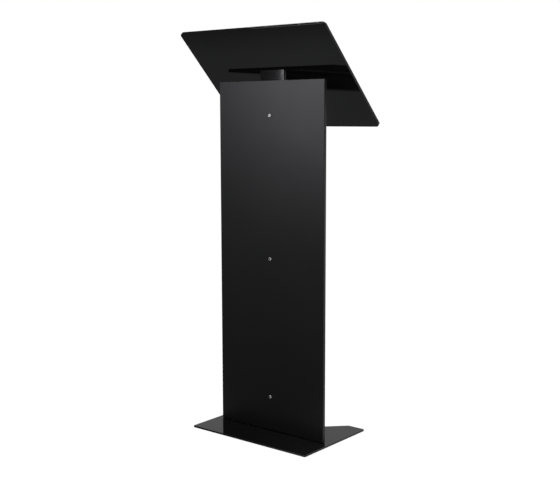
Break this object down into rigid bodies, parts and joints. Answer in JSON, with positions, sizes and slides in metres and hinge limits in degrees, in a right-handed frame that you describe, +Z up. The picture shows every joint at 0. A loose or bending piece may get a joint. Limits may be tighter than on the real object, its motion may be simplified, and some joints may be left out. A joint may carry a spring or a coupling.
{
  "type": "touchscreen kiosk",
  "caption": "Slim lectern kiosk: thin sloped touchscreen head on a mitred rectangular post, wide removable rear panel and a thin floor plate with a toe notch.",
  "frame": {"origin": "on the floor, under the middle of the floor plate", "axes": "+Z up, the user stands on the -Y side and the rear panel faces +Y, +X to the user's right"},
  "size_m": [0.506, 0.282, 1.137],
  "materials": {
    "gloss_black_paint": "high-gloss black powder coat",
    "satin_black_paint": "satin fine-texture black powder coat",
    "post_black_paint": "semi-gloss black powder coat",
    "stainless_steel": "bright stainless fasteners",
    "zinc_steel": "bright zinc-plated steel",
    "zinc_sheet": "zinc-plated sheet steel",
    "spacer_aluminium": "turned aluminium",
    "black_rubber": "matt black rubber",
    "black_foam": "black foam tape",
    "white_nylon": "natural nylon",
    "frame_plastic": "black moulded plastic",
    "cover_glass": "clear float glass, seamed edges",
    "sensor_film": "clear film with a black printed border",
    "display_cell": "display, switched off",
    "backlight_metal": "bright sheet",
    "circuit_board": "green solder mask",
    "flex_film": "amber polyimide",
    "cable_black": "black cable sheath",
    "player_plastic": "fine-textured black plastic",
    "heatsink_aluminium": "natural anodised",
    "switch_plastic": "black switch body",
    "button_plastic": "light grey button",
    "psu_plastic": "black moulded plastic",
    "terminal_plastic": "off-white terminal",
    "lead_insulation": "blue and brown insulation"
  },
  "bodies": {
    "stand": {"base_plate": "gloss_black_paint", "base_pads": "black_rubber", "base_screws": "zinc_steel", "cable_grommet": "black_rubber", "foot_plate": "zinc_sheet", "post": "post_black_paint", "head_mount_plate": "post_black_paint", "panel_rivet_nuts": "zinc_steel", "head_tray": "gloss_black_paint", "head_screws": "zinc_steel", "head_frame": "frame_plastic", "frame_gasket": "black_foam", "touch_glass": "cover_glass", "touch_sensor": "sensor_film", "lcd_cell": "display_cell", "lcd_gasket": "black_foam", "backlight_unit": "backlight_metal", "lcd_pads": "black_foam", "display_board": "circuit_board", "board_pads": "black_foam", "touch_board": "circuit_board", "lcd_ribbon": "flex_film", "touch_ribbon": "flex_film", "head_cable": "cable_black", "player_carrier": "zinc_sheet", "psu_carrier": "zinc_sheet", "carrier_screws": "zinc_steel", "clamp_screws": "zinc_steel", "player_base": "player_plastic", "player_cover": "player_plastic", "player_board": "circuit_board", "player_heatsink": "heatsink_aluminium", "power_switch": "switch_plastic", "psu_case": "psu_plastic", "psu_cover": "psu_plastic", "psu_board": "circuit_board", "psu_clamp": "zinc_sheet", "terminal_block": "terminal_plastic", "mains_leads": "lead_insulation", "dc_cable": "cable_black"},
    "panel": {"rear_panel": "satin_black_paint", "panel_screws": "stainless_steel", "panel_spacers": "spacer_aluminium", "screw_retainers": "white_nylon"},
    "button": {"power_button": "button_plastic"}
  },
  "joints": [
    {"name": "rear_panel_off", "type": "slide", "parent": "stand", "child": "panel", "axis": [0, 1, 0], "range_m": [0, 0.06]},
    {"name": "power_button_press", "type": "slide", "parent": "stand", "child": "button", "axis": [0, -1, 0], "range_m": [0, 0.0012]}
  ]
}
